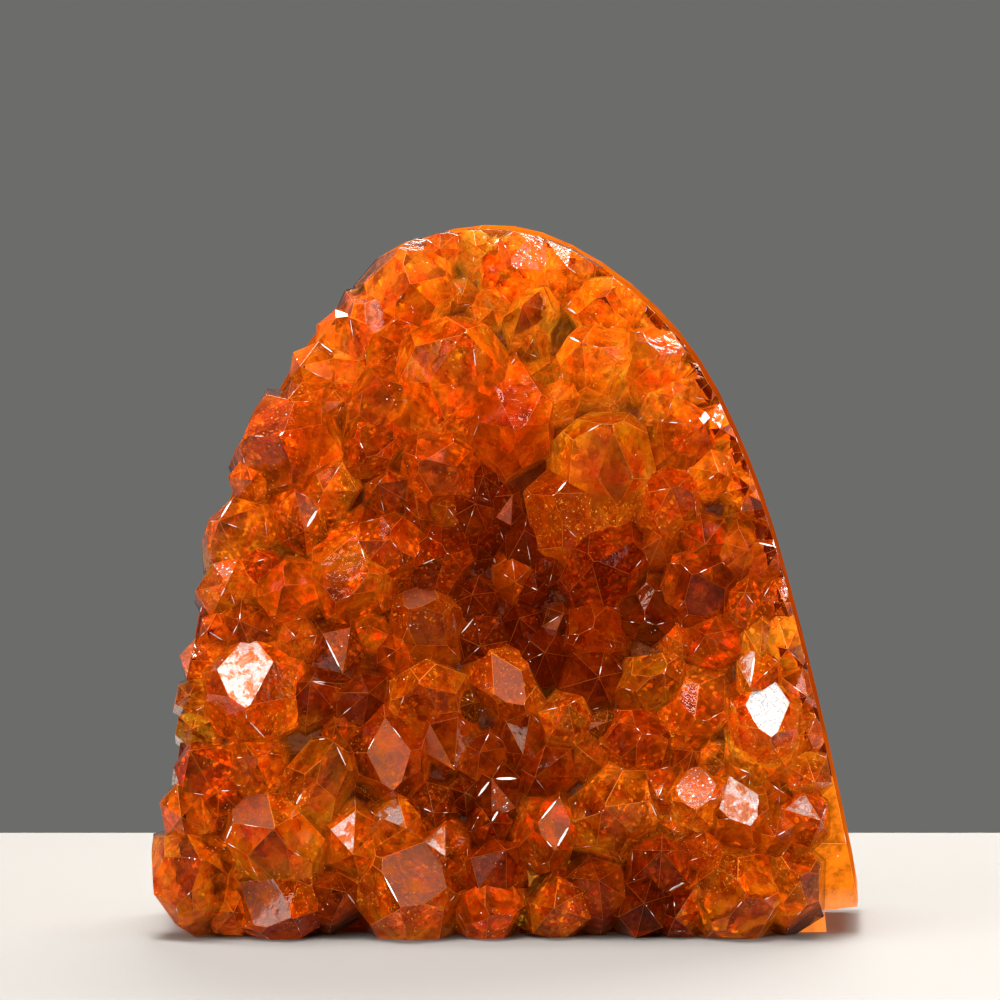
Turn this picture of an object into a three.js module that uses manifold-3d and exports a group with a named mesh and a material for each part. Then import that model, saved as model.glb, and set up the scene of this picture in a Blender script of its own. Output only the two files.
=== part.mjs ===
// A citrine specimen: an arch cut from a geode's wall, with a crust of quartz crystals over its front.
// Millimetres, +Z up. The crystals face -Y and the flat cut base lies on z = 0.
import * as THREE from "three";
import { mergeVertices } from "three/addons/utils/BufferGeometryUtils.js";
import Module from "manifold-3d";

const wasm = await Module();
wasm.setup();

// Driving dimensions of the arch.
const HEIGHT = 63;
const BACK_AT_BASE = 19.3;
const BACK_AT_TOP = 13;
const CRUST_AT_BASE = -12.5;
const CRUST_AT_TOP = -3;
const ROOT_BEHIND_CRUST = 1.6;
const FRONT_SPLAY = 0.925;
const FRONT_SHIFT = -0.2;
const FRONT_TOP_SPLAY = 0.965;
const PRISM_FRONT = -32;
const PRISM_BACK = 21;
const LEFT_OVERHANG = 1.5;
const HOLLOW = { x: 1, z: 30, halfWidth: 11, halfHeight: 12, depth: 4.5 };
const CHIP = { x: 28.2, rise: 2.0, slope: 0.12 };
const FOOT_CUTS = [
  { height: 11.4, inset: 2.3 },
  { height: 20.5, inset: 1.2 },
];
const FOOT_CUT_FRONT = -14;

// The rind and the surface that the crystals root in, as grids across the arch.
const GRID_WIDTH = 80;
const GRID_COLUMNS = 9;
const GRID_ROWS = 8;
const RIND_LUMP = 0.55;
const ROOT_LUMP = 0.5;
const UNDERCUT = { height: 2.6, depth: 4 };

// Quartz: a six-sided prism, closed by rhombohedron faces at this slope to the plane across the prism.
const TIP_SLOPE = THREE.MathUtils.degToRad(51.8);
const MOST_LEAN = 0.72;
const SHOULDER_RISE = 0.22;
const GROWTH = 1.08;
const LARGE = 2.8; // crystals from this size up have broad and lesser tip faces
const CORNER_RISE = [-0.2, 0.28];
const TIP_ASIDE = 0.44;
const ROOT_LENGTH = 2.3;
const FLARE = 0.3; // how fast a prism widens on its way down to the root

// The saw's outline of the arch at its back, from the left foot over the top to the right foot: x, z.
const ARCH_LEFT = [
  [-27.2, 0],
  [-31, 4.4],
  [-30.5, 13],
  [-28.9, 25],
  [-26.6, 35],
  [-23, 44.2],
  [-19.0, 51.4],
  [-13.8, 57.8],
  [-8.2, 61.9],
  [-2, 63.35],
];
const ARCH_RIGHT = [
  [3.6, 62.6],
  [9.4, 59.6],
  [14.6, 55.2],
  [18.6, 50],
  [21.8, 43.6],
  [24.4, 36.8],
  [27, 27.6],
  [29.6, 17],
  [32, 6],
  [33, 0],
];

// The crystals, read across the face: x, z, radius, where the tip stands from the middle in x
// and z, and the direction in degrees of one broad tip face (0 is +x, 90 is up).
const CRYSTALS = [
  // top of the arch
  [-4.4, 50.3, 4.9, 1.2, 3.1, 23],
  [-8.4, 57.2, 3.7, -0.2, 0.5, 50],
  [-11.8, 52.9, 3.4, 0, 0.2, 66],
  [5.7, 59.4, 2.6, 0.4, 0.6, 80],
  [0.7, 59.0, 3.1, -0.3, 0.4, 30],
  [-3.0, 61.0, 1.5, 0, 0.6, 90],
  [-5.7, 61.0, 1.4, -0.2, 0.5, 40],
  [-1.3, 60.6, 1.1, 0, 0.3, 75],
  [-3.9, 56.8, 1.3, 0.3, 0.2, 10],
  [2.8, 52.3, 1.3, 0.2, 0.4, 95],
  [1.9, 54.7, 2.3, -0.4, 0.6, 60],
  [9.0, 55.6, 3.0, -0.3, 0.7, 0],
  [7.9, 51.0, 3.5, -1.2, 1.4, 53],
  [13.0, 50.8, 3.0, 0.6, 0.6, 70],
  [14.0, 54.6, 1.8, 0.4, 0.6, 20],
  [-15.2, 53.4, 1.8, -0.6, 0.5, 35],
  [-17.1, 50.1, 2.2, -0.8, 0.4, 20],
  [-17.9, 47.6, 1.9, -0.7, 0.1, 75],
  [-13.9, 50.1, 2.0, 0.3, 0.5, 100],
  [-15.1, 47.0, 1.1, 0.1, 0.1, 45],
  [-1.4, 55.3, 1.6, 0.2, 0.3, 50],
  [3.4, 49.7, 1.4, 0.1, 0.2, 20],
  // upper middle
  [-11.4, 47.4, 3.1, -0.4, 2.2, 48],
  [0.5, 45.2, 4.3, 0.4, -0.6, 85],
  [-0.6, 48.2, 2.2, 0.5, 0.6, 15],
  [5.0, 47.4, 1.9, 0.2, 0.2, 65],
  [17.5, 48.8, 1.6, 0.5, 0.3, 110],
  [14.3, 47.1, 1.9, 0.1, 0.5, 30],
  [16.1, 43.9, 2.7, 0.7, 0.6, 95],
  [18.8, 45.2, 1.9, 0.5, 0.4, 15],
  [9.0, 42.5, 4.4, 0.6, 3.0, 96],
  [-6.4, 41.6, 3.3, -1.4, 0.3, 75],
  [-12.1, 43.0, 2.8, -0.2, -0.9, 60],
  [-19.5, 43.2, 4.5, -0.6, 1.1, 113],
  [-22.6, 40.2, 2.0, -0.8, 0.3, 50],
  [14.6, 38.5, 2.9, -0.1, 1.1, 85],
  [18.2, 40.7, 2.1, 0.5, 0.2, 40],
  [5.3, 37.4, 4.1, -1.5, 1.5, 107],
  [-16.0, 39.2, 2.6, 0.2, -0.3, 60],
  [-18.2, 36.3, 2.7, 0.3, -1.0, 100],
  [-23.9, 35.8, 2.7, -0.5, 0.8, 40],
  [0.1, 37.9, 1.5, 0.2, 0.2, 100],
  [21.2, 39.6, 1.5, 0.5, 0.2, 75],
  [22.4, 38.0, 1.6, 0.6, 0.2, 20],
  [23.4, 36.2, 1.5, 0.5, 0, 100],
  [-10.6, 39.1, 1.8, -0.1, 0.4, 30],
  [-1.8, 39.9, 1.4, 0.2, 0.1, 105],
  [21.0, 42.3, 1.4, 0.4, 0.3, 45],
  // across the hollow
  [8.6, 32.4, 4.0, -0.9, 0.6, 68],
  [17.7, 35.1, 2.1, 0.3, 0.3, 45],
  [20.6, 33.6, 1.9, 0.1, -0.2, 92],
  [23.3, 33.3, 2.0, 0.5, 0.3, 10],
  [16.8, 30.9, 3.4, -0.5, 1.2, 72],
  [12.6, 28.3, 2.8, -0.4, -0.5, 35],
  [21.3, 29.1, 2.0, 0.2, 0.3, 88],
  [24.4, 29.6, 1.9, 0.5, 0.1, 55],
  [-6.0, 33.2, 3.1, 0.8, 0.6, 50],
  [-10.9, 34.2, 3.4, 0.6, 0.9, 20],
  [-14.2, 30.9, 3.7, -0.9, -1.6, 78],
  [-19.3, 30.5, 2.8, -0.3, 0.6, 40],
  [-24.9, 30.7, 2.4, -0.6, 0.6, 65],
  [0.5, 31.2, 1.9, 0, -0.3, 90],
  [2.3, 30.5, 1.4, 0.4, -0.1, 30],
  [-1.7, 34.5, 1.5, 0, 0.3, 60],
  [-3.0, 29.6, 1.9, -0.2, 0.4, 15],
  [-7.7, 27.8, 3.0, -0.8, 1.2, 82],
  [-22.8, 27.4, 2.4, 0.3, 0.4, 100],
  [8.1, 26.7, 2.9, -0.4, 0.6, 22],
  [4.6, 27.6, 1.4, 0.1, 0.3, 75],
  [-2.1, 26.0, 2.1, 0.3, 0.3, 50],
  [1.4, 26.7, 2.1, -0.3, 0.5, 105],
  [3.2, 24.0, 2.3, 0.3, -0.4, 65],
  [-3.0, 37.1, 2.0, 0.3, 0.2, 70],
  [-5.6, 37.2, 1.5, 0.1, 0.3, 25],
  [-7.8, 37.2, 1.4, -0.2, 0.1, 100],
  [2.1, 34.6, 2.2, -0.3, 0.3, 40],
  [3.9, 32.3, 1.5, 0.3, -0.1, 85],
  [13.6, 34.2, 1.5, 0.2, 0.3, 60],
  [-22.0, 32.5, 1.4, -0.3, 0.2, 95],
  [-18.6, 25.9, 1.9, 0.1, 0.5, 70],
  [-12.0, 26.7, 1.5, 0.2, 0.3, 50],
  [-25.8, 26.9, 1.4, -0.3, 0.2, 80],
  // lower middle
  [18.5, 26.0, 2.2, 0.2, 0.3, 30],
  [22.4, 25.8, 1.8, 0, -0.2, 85],
  [25.0, 26.0, 2.3, 0.6, 0.2, 60],
  [22.2, 22.8, 2.3, -0.6, -0.2, 92],
  [22.9, 18.2, 3.8, 0.2, -0.5, 90],
  [25.9, 21.6, 1.9, 0.4, 0.3, 25],
  [26.4, 17.6, 1.8, 0.5, 0, 60],
  [26.6, 14.4, 2.0, 0.4, 0.2, 100],
  [13.5, 22.5, 2.9, 0.4, 1.0, 12],
  [16.6, 19.6, 3.1, -0.2, -0.3, 52],
  [7.7, 22.5, 2.6, 0, 0.4, 70],
  [5.3, 19.1, 2.4, -0.3, 0.8, 110],
  [8.6, 18.7, 1.2, 0.2, 0, 20],
  [11.7, 17.3, 3.0, 0.3, 0.9, 64],
  [0.7, 21.1, 2.9, 1.0, -0.8, 118],
  [-14.8, 24.6, 2.4, 0.4, -0.4, 70],
  [-10.0, 25.0, 1.6, -0.2, 0.6, 95],
  [-7.3, 21.1, 3.3, -0.3, 1.3, 32],
  [-3.7, 20.1, 1.4, 0.3, 0.5, 70],
  [-22.5, 21.1, 4.6, -0.3, -0.6, 92],
  [-26.8, 24.4, 1.9, -0.6, 0.6, 50],
  [-27.5, 18.4, 1.6, -0.5, 0.3, 20],
  [-17.2, 21.0, 2.5, -0.1, 0.5, 25],
  [-12.8, 20.9, 2.3, 0.3, 0.4, 40],
  [-14.6, 18.3, 1.4, 0, 0.3, 60],
  [-27.4, 21.3, 1.6, -0.4, 0.2, 25],
  [15.4, 25.9, 1.4, 0.2, 0.1, 100],
  [7.4, 15.8, 1.7, 0.1, 0.4, 20],
  [15.8, 15.5, 1.6, 0.2, 0.2, 85],
  // lower part
  [-26.6, 14.9, 2.7, -0.8, 1.6, 57],
  [-21.9, 15.3, 2.8, 0.2, 0.7, 88],
  [-16.2, 14.9, 3.0, 1.1, 2.6, 58],
  [-10.3, 14.9, 3.5, 0.3, -1.8, 95],
  [-4.8, 16.7, 2.6, 0.6, -0.9, 132],
  [-2.1, 15.8, 2.2, 0.2, 0.4, 20],
  [1.4, 17.1, 2.3, 0.4, 0.2, 75],
  [3.7, 14.4, 2.3, -0.4, 0.3, 45],
  [-0.8, 12.9, 2.2, 0, 0.8, 80],
  [18.5, 15.3, 1.7, 0.1, 0.2, 65],
  [21.2, 14.5, 1.8, -0.2, -0.1, 95],
  [16.9, 12.0, 2.8, -0.3, -0.4, 95],
  [20.7, 10.6, 3.0, 0.6, -0.5, 106],
  [23.6, 9.8, 2.2, 0.2, 0.3, 70],
  [26.4, 10.2, 2.2, 0.3, 0.1, 95],
  [9.4, 11.3, 3.9, -0.9, 0.6, 42],
  [13.9, 12.9, 2.1, 0.2, 0.5, 15],
  [3.7, 8.6, 2.8, 0.5, -0.8, 74],
  [-28.4, 10.7, 2.3, -0.6, 0.3, 100],
  [-20.4, 8.6, 4.3, 0.3, 1.5, 128],
  [-13.1, 8.2, 2.6, 0.1, -0.2, 93],
  [-9.3, 9.7, 2.4, 0.2, -0.3, 95],
  [-6.6, 11.5, 2.1, 0, 0.4, 45],
  [-5.4, 7.3, 2.3, 0, -0.25, 90],
  [-24.8, 12.4, 1.8, 0.1, 0.2, 15],
  [-3.8, 12.6, 1.4, 0.1, 0.2, 100],
  [-1.3, 9.7, 1.8, 0.3, 0.2, 65],
  [14.6, 9.7, 1.3, 0.1, 0.1, 40],
  [24.0, 13.1, 1.4, 0.2, 0.2, 90],
  // along the base
  [17.4, 7.6, 1.6, 0.2, 0.2, 30],
  [-27.5, 5.7, 4.0, 0.9, 1.6, 72],
  [-19.7, 2.8, 3.5, 0.9, -0.6, 150],
  [-24.4, 2.2, 1.9, -0.1, -0.3, 55],
  [-15.1, 3.7, 2.1, 0.2, 0.4, 30],
  [-8.8, 3.9, 4.6, -0.6, -0.4, 64],
  [-1.5, 2.6, 2.8, 0.1, -0.3, 58],
  [-0.6, 6.2, 2.7, 1.0, 1.3, 45],
  [4.7, 2.4, 2.6, -0.1, -0.4, 40],
  [7.9, 4.4, 2.6, 0.3, 0.5, 100],
  [12.1, 2.9, 2.4, 0.2, -0.3, 76],
  [13.5, 6.4, 2.6, -0.1, 0.3, 28],
  [15.4, 2.4, 1.8, -0.3, 0.3, 60],
  [20.4, 3.8, 3.9, 0.4, 0.4, 52],
  [25.4, 5.2, 2.8, 0.3, 0.6, 84],
];

const SLIVER = 0.05;
const WELD = 0.002;

function random(stream) {
  return THREE.MathUtils.seededRandom(stream);
}

function between([low, high], share) {
  return low + (high - low) * share;
}

// The level that the crystals' shoulders reach, as y over the face.
function crustY(x, z) {
  const slope = (z / HEIGHT) ** 1.25;
  const across = ((x - HOLLOW.x) / HOLLOW.halfWidth) ** 2;
  const up = ((z - HOLLOW.z) / HOLLOW.halfHeight) ** 2;
  return THREE.MathUtils.lerp(CRUST_AT_BASE, CRUST_AT_TOP, slope) + HOLLOW.depth * Math.exp(-across - up);
}

// The rind behind, gently domed and thinner towards the top.
function rindY(x, z) {
  const slope = (z / HEIGHT) ** 1.6;
  const dome = 2.6 * (x / 32) ** 2;
  return THREE.MathUtils.lerp(BACK_AT_BASE, BACK_AT_TOP, slope) - dome;
}

// Low lumps from a few crossed waves, -1 to 1.
function lumps(x, z) {
  const wide = Math.sin(0.31 * x + 1.1) * Math.cos(0.27 * z - 0.4);
  const fine = Math.sin(0.83 * x - 0.7 * z) * Math.cos(0.62 * z + 0.9 * x);
  return 0.6 * wide + 0.4 * fine;
}

function toSolid(geometry, weld = 1e-4) {
  const bare = geometry.clone();
  bare.deleteAttribute("normal");
  bare.deleteAttribute("uv");
  const merged = mergeVertices(bare, weld);
  return new wasm.Manifold(
    new wasm.Mesh({
      numProp: 3,
      vertProperties: merged.attributes.position.array,
      triVerts: new Uint32Array(merged.index.array),
    }),
  );
}

// The arch as the saw left it: the sides and the top draw in towards the front.
function archPrism(leftShift) {
  const outline = new THREE.Shape();
  const right = ARCH_RIGHT.map(([x, z]) => new THREE.Vector2(x, z));
  const left = ARCH_LEFT.map(([x, z]) => new THREE.Vector2(x - leftShift, z));
  outline.moveTo(left[0].x, left[0].y);
  outline.splineThru([...left.slice(1), ...right]);
  outline.closePath();
  const length = PRISM_BACK - PRISM_FRONT;
  const settings = { depth: length, curveSegments: 2, bevelEnabled: false };
  const geometry = new THREE.ExtrudeGeometry(outline, settings);
  geometry.rotateX(Math.PI / 2);
  geometry.translate(0, PRISM_BACK, 0);
  const spots = geometry.attributes.position;
  for (let i = 0; i < spots.count; i += 1) {
    const forward = (PRISM_BACK - spots.getY(i)) / length;
    spots.setX(i, spots.getX(i) * THREE.MathUtils.lerp(1, FRONT_SPLAY, forward) + FRONT_SHIFT * forward);
    spots.setZ(i, spots.getZ(i) * THREE.MathUtils.lerp(1, FRONT_TOP_SPLAY, forward));
  }
  return toSolid(geometry);
}

// The quartz that the crystals grow from, between the rind and the crust.
function rootSlab() {
  const geometry = new THREE.BoxGeometry(GRID_WIDTH, 2, HEIGHT + 2, GRID_COLUMNS, 1, GRID_ROWS);
  geometry.translate(0, 0, HEIGHT / 2 + 1);
  const spots = geometry.attributes.position;
  for (let i = 0; i < spots.count; i += 1) {
    const x = spots.getX(i);
    const z = spots.getZ(i);
    const undercut = UNDERCUT.depth * Math.max(0, 1 - z / UNDERCUT.height);
    const front = crustY(x, z) + ROOT_BEHIND_CRUST + ROOT_LUMP * lumps(1.3 * x + 4, 1.3 * z) + undercut;
    const back = rindY(x, z) + RIND_LUMP * lumps(x, z);
    spots.setY(i, spots.getY(i) < 0 ? front : back);
  }
  return toSolid(geometry);
}

// A small crystal's tip: the prism's corners at uneven heights, drawn up to a point that lies off the axis.
function raiseTip(prism, radius, length, tipHeight, stream) {
  const spots = prism.attributes.position;
  const shoulder = length / 2 - 0.001;
  const aside = [7, 8].map((step) => radius * between([-TIP_ASIDE, TIP_ASIDE], random(stream + step)));
  for (let i = 0; i < spots.count; i += 1) {
    const across = Math.hypot(spots.getX(i), spots.getZ(i));
    const corner = Math.round((Math.atan2(spots.getZ(i), spots.getX(i)) * 3) / Math.PI + 6) % 6;
    if (spots.getY(i) > shoulder && across > radius / 2) {
      spots.setY(i, spots.getY(i) + tipHeight * between(CORNER_RISE, random(stream + corner)));
    } else if (spots.getY(i) > shoulder) {
      spots.setXYZ(i, aside[0], spots.getY(i) + tipHeight, aside[1]);
    }
  }
}

// A large crystal's tip: three broad faces and three lesser ones between them.
function trimTip(prism, shoulder, across, axis, tipHeight, stream) {
  const third = new THREE.Vector3().crossVectors(across, axis);
  let solid = prism;
  for (let face = 0; face < 6; face += 1) {
    const broad = face % 2 === 0;
    const setBack = broad ? 0.12 * random(stream + face) : 0.08 + 0.3 * random(stream + face);
    const around = (face * Math.PI) / 3;
    const normal = across
      .clone()
      .multiplyScalar(Math.cos(around))
      .addScaledVector(third, Math.sin(around))
      .multiplyScalar(Math.sin(TIP_SLOPE))
      .addScaledVector(axis, Math.cos(TIP_SLOPE));
    const offset = normal.dot(shoulder) + Math.cos(TIP_SLOPE) * tipHeight * (1 + setBack);
    solid = solid.trimByPlane(normal.clone().negate().toArray(), -offset);
  }
  return solid;
}

// One quartz crystal: a six-sided prism that widens into the root, closed by a six-faced tip.
function crystal([x, z, size, tipX, tipZ, turn], stream) {
  const radius = GROWTH * size;
  const reach = 1.25 * radius;
  const lean = new THREE.Vector2(tipX / reach, tipZ / reach).clampLength(0, MOST_LEAN);
  const axis = new THREE.Vector3(lean.x, -Math.sqrt(1 - lean.lengthSq()), lean.y);
  const angle = THREE.MathUtils.degToRad(turn);
  const across = new THREE.Vector3(Math.cos(angle), 0, Math.sin(angle));
  across.addScaledVector(axis, -across.dot(axis)).normalize();
  const third = new THREE.Vector3().crossVectors(across, axis);

  const shoulder = new THREE.Vector3(x, crustY(x, z) - SHOULDER_RISE * radius, z);
  const tipHeight = radius * Math.cos(Math.PI / 6) * Math.tan(TIP_SLOPE);
  const rootLength = ROOT_LENGTH + 0.9 * radius;
  const large = size >= LARGE;
  const length = rootLength + (large ? 1.6 * tipHeight : 0);
  const topRadius = radius - FLARE * (length - rootLength);
  const prism = new THREE.CylinderGeometry(topRadius, radius + FLARE * rootLength, length, 6);
  prism.rotateY(Math.PI / 6);
  if (!large) {
    raiseTip(prism, radius, length, tipHeight, stream);
  }
  const stretch = 1 + 0.16 * random(stream);
  prism.scale(stretch, 1, 1 / stretch);
  prism.translate(0, length / 2 - rootLength, 0);
  prism.applyMatrix4(new THREE.Matrix4().makeBasis(across, axis, third).setPosition(shoulder));
  return large ? trimTip(toSolid(prism), shoulder, across, axis, tipHeight, stream) : toSolid(prism);
}

// The side of the right foot, cut back twice, so that the smooth wall shows beside the crystals.
function footCuts() {
  const length = PRISM_BACK - FOOT_CUT_FRONT;
  const cuts = FOOT_CUTS.map(({ height, inset }) => {
    const block = new THREE.BoxGeometry(10, 2 * length, height + 1);
    block.translate(5, -length, (height - 1) / 2);
    block.rotateZ(-Math.atan2(inset, length));
    block.translate(ARCH_RIGHT.at(-1)[0], PRISM_BACK, 0);
    return toSolid(block);
  });
  return wasm.Manifold.union(cuts);
}

// The chipped right foot: a piece is broken off the base there.
function footChip() {
  const block = new THREE.BoxGeometry(10, 80, 6);
  block.translate(5, 0, -3);
  block.rotateY(-CHIP.slope);
  block.translate(CHIP.x, 0, CHIP.rise);
  return toSolid(block);
}

function toGeometry(solid) {
  const { numProp, vertProperties, triVerts } = solid.getMesh();
  const geometry = new THREE.BufferGeometry();
  geometry.setAttribute("position", new THREE.BufferAttribute(Float32Array.from(vertProperties), numProp));
  geometry.setIndex(new THREE.BufferAttribute(Uint32Array.from(triVerts), 1));
  return geometry;
}

// The outer surface alone, without the pockets that crystals close off between them.
function outerBody(solid) {
  return solid.decompose().reduce((most, body) => (body.volume() > most.volume() ? body : most));
}

function citrineCluster() {
  const wall = archPrism(0);
  const reach = wall.add(archPrism(LEFT_OVERHANG));
  const crust = wasm.Manifold.union(CRYSTALS.map((row, index) => crystal(row, 100 + 17 * index)));
  const stone = rootSlab().intersect(wall).add(crust.intersect(reach));
  const cut = stone.subtract(footCuts()).subtract(footChip()).trimByPlane([0, 0, 1], 0);
  const clean = outerBody(cut).simplify(SLIVER);
  const geometry = toGeometry(outerBody(toSolid(toGeometry(clean), WELD)));
  geometry.computeBoundingBox();
  const middle = geometry.boundingBox.getCenter(new THREE.Vector3());
  return geometry.translate(-middle.x, -middle.y, 0);
}

const citrine = new THREE.MeshStandardMaterial({ color: 0xe8690f, roughness: 0.12, metalness: 0 });
const cluster = new THREE.Mesh(citrineCluster(), citrine);
cluster.name = "citrine_cluster";
cluster.geometry.computeVertexNormals();

const specimen = new THREE.Group();
specimen.add(cluster);

export default specimen;
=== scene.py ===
import math
import random

import bmesh
import bpy
from mathutils import Euler, Matrix, Vector, noise
from mathutils.bvhtree import BVHTree


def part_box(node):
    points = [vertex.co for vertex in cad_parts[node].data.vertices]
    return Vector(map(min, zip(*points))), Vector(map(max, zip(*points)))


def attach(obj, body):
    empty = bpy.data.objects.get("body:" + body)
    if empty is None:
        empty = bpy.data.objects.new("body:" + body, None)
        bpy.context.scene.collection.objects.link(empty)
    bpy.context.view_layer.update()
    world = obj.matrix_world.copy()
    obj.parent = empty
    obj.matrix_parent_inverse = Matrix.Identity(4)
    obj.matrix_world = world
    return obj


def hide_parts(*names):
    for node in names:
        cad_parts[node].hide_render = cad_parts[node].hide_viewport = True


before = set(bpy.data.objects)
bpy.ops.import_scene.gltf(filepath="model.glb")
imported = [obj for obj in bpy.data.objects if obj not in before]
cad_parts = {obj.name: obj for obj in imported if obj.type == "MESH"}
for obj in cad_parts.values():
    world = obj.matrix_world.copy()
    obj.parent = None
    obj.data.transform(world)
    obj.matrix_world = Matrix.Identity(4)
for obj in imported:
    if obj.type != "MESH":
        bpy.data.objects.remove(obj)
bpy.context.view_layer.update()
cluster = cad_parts["citrine_cluster"]
scene = bpy.context.scene
scene.view_settings.view_transform = "Standard"
print("frame loaded")

farOut = 0.05  # metres, past the specimen on any side
forwards = Vector((0, -1, 0))
backwards = Vector((0, 1, 0))

viewValues = {
    "distance": 0.6,
    "elevation": 1.5,
    "target": (-0.00101, -0.008, 0.0384),
    "pixelsPerMetre": 11300,  # at the target
    "imagePixels": 1000,
    "sensor": 36,
    "clipEnd": 50,
}


def makeCamera(values):
    data = bpy.data.cameras.new("mainCamera")
    data.sensor_width = values["sensor"]
    data.lens = values["sensor"] * values["pixelsPerMetre"] * values["distance"] / values["imagePixels"]
    data.clip_end = values["clipEnd"]
    camera = bpy.data.objects.new("mainCamera", data)
    scene.collection.objects.link(camera)
    tilt = math.radians(values["elevation"])
    back = Vector((0, -math.cos(tilt), math.sin(tilt)))
    camera.location = Vector(values["target"]) + back * values["distance"]
    camera.rotation_euler = (math.radians(90) - tilt, 0, 0)
    scene.camera = camera


def setInputs(tree, node, inputs):
    # each input takes a value, or the output that feeds it
    for name, value in inputs.items():
        if isinstance(value, bpy.types.NodeSocket):
            tree.links.new(value, node.inputs[name])
        else:
            node.inputs[name].default_value = value


def addNode(tree, kind, inputs, **settings):
    node = tree.nodes.new("ShaderNode" + kind)
    for name, value in settings.items():
        setattr(node, name, value)
    setInputs(tree, node, inputs)
    return node


def addRamp(tree, level, stops):
    # each stop is a place with its colour
    ramp = addNode(tree, "ValToRGB", {"Fac": level})
    elements = ramp.color_ramp.elements
    for element, (place, colour) in ((elements[0], stops[0]), (elements[1], stops[-1])):
        element.position, element.color = place, (*colour, 1)
    for place, colour in stops[1:-1]:
        elements.new(place).color = (*colour, 1)
    return ramp.outputs["Color"]


def greys(stops):
    return [(place, (level, level, level)) for place, level in stops]


def addMix(tree, factor, first, second, blend="MIX"):
    inputs = {"Factor": factor, "A": first, "B": second}
    return addNode(tree, "Mix", inputs, data_type="RGBA", blend_type=blend).outputs["Result"]


def addBump(tree, height, strength, distance):
    inputs = {"Height": height, "Strength": strength, "Distance": distance}
    return addNode(tree, "Bump", inputs).outputs["Normal"]


def addNoise(tree, place, values):
    return addNode(tree, "TexNoise", {"Vector": place, **values}).outputs["Fac"]


def addRange(tree, level, values):
    return addNode(tree, "MapRange", {"Value": level, **values}).outputs["Result"]


def addMath(tree, operation, *levels):
    return addNode(tree, "Math", dict(enumerate(levels)), operation=operation).outputs["Value"]


def objectPlace(tree):
    return addNode(tree, "TexCoord", {}).outputs["Object"]


def objectHeight(tree, place):
    return addNode(tree, "SeparateXYZ", {"Vector": place}).outputs["Z"]


lightValues = {
    "worldBehind": (0.15, 0.152, 0.145),
    "worldFront": (0.045, 0.046, 0.048),
    "worldEdge": 0.45,  # how far round the backdrop reaches
    # name, place, size, radiance, colour; each looks at the specimen's middle
    "softboxes": [
        ("topSoftbox", (-0.08, -0.05, 0.78), (0.6, 0.36), 20, (1, 0.98, 0.95)),
        ("frontSoftbox", (-0.3, -0.85, 0.5), (0.9, 0.7), 5, (1, 0.98, 0.95)),
        ("leftPanel", (-0.85, -0.5, 0.35), (0.6, 0.5), 5, (1, 0.97, 0.93)),
        ("rightPanel", (0.85, -0.35, 0.4), (0.6, 0.5), 5, (0.95, 0.98, 1)),
        ("backSoftbox", (0.15, 0.6, 0.5), (0.5, 0.3), 14, (1, 0.96, 0.9)),
        ("glintLamp", (-0.05, 0.14, 0.75), (0.07, 0.05), 160, (1, 1, 1)),
        ("leftGlintLamp", (-0.65, -0.35, 0.5), (0.05, 0.05), 160, (1, 1, 1)),
    ],
    "aim": (0, 0, 0.03),
}


def makeLights(values):
    world = bpy.data.worlds.new("studioWorld")
    world.use_nodes = True
    tree = world.node_tree
    direction = addNode(tree, "TexCoord", {}).outputs["Generated"]
    across = addNode(tree, "SeparateXYZ", {"Vector": direction}).outputs["Y"]
    stops = [(0, values["worldFront"]), (values["worldEdge"], values["worldBehind"])]
    setInputs(tree, tree.nodes["Background"], {"Color": addRamp(tree, across, stops)})
    scene.world = world
    for name, place, size, radiance, colour in values["softboxes"]:
        data = bpy.data.lights.new(name, "AREA")
        data.shape = "RECTANGLE"
        data.size, data.size_y = size
        data.energy = radiance * math.pi * size[0] * size[1]
        data.color = colour
        lamp = bpy.data.objects.new(name, data)
        lamp.location = place
        lamp.rotation_euler = (Vector(values["aim"]) - Vector(place)).to_track_quat("-Z", "Y").to_euler()
        scene.collection.objects.link(lamp)


def newMaterial(name, inputs):
    material = bpy.data.materials.new(name)
    material.use_nodes = True
    material.cycles.emission_sampling = "NONE"  # the faint glow is found without aiming at it
    tree = material.node_tree
    shader = tree.nodes["Principled BSDF"]
    setInputs(tree, shader, inputs)
    return material, tree, shader


def addPiece(name, shape, material):
    mesh = bpy.data.meshes.new(name)
    shape.to_mesh(mesh)
    shape.free()
    mesh.materials.append(material)
    piece = bpy.data.objects.new(name, mesh)
    scene.collection.objects.link(piece)
    return piece


crustValues = {
    "height": 0.063,
    "atFoot": -0.0125,
    "setBack": 0.0095,
    "curve": 1.25,
    "hollowDepth": 0.0045,
    "hollowPlace": (-0.0003, 0.03),
    "hollowSize": (0.011, 0.012),
}


def crustY(x, z):
    # the level of the crystals' shoulders, as the solid has it, with how far up and in the hollow it is
    values = crustValues
    up = max(0, z) / values["height"]
    (middleX, middleZ), (wide, high) = values["hollowPlace"], values["hollowSize"]
    hollow = math.exp(-(((x - middleX) / wide) ** 2) - ((z - middleZ) / high) ** 2)
    level = values["atFoot"] + values["setBack"] * up ** values["curve"] + values["hollowDepth"] * hollow
    return level, up, hollow


etchingValues = {
    "detail": 2,
    "marks": [(0.4, 1), (0.45, 0.15), (0.47, 1), (0.53, 0.95), (0.55, 0), (0.575, 1), (0.62, 1)],
}


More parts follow.
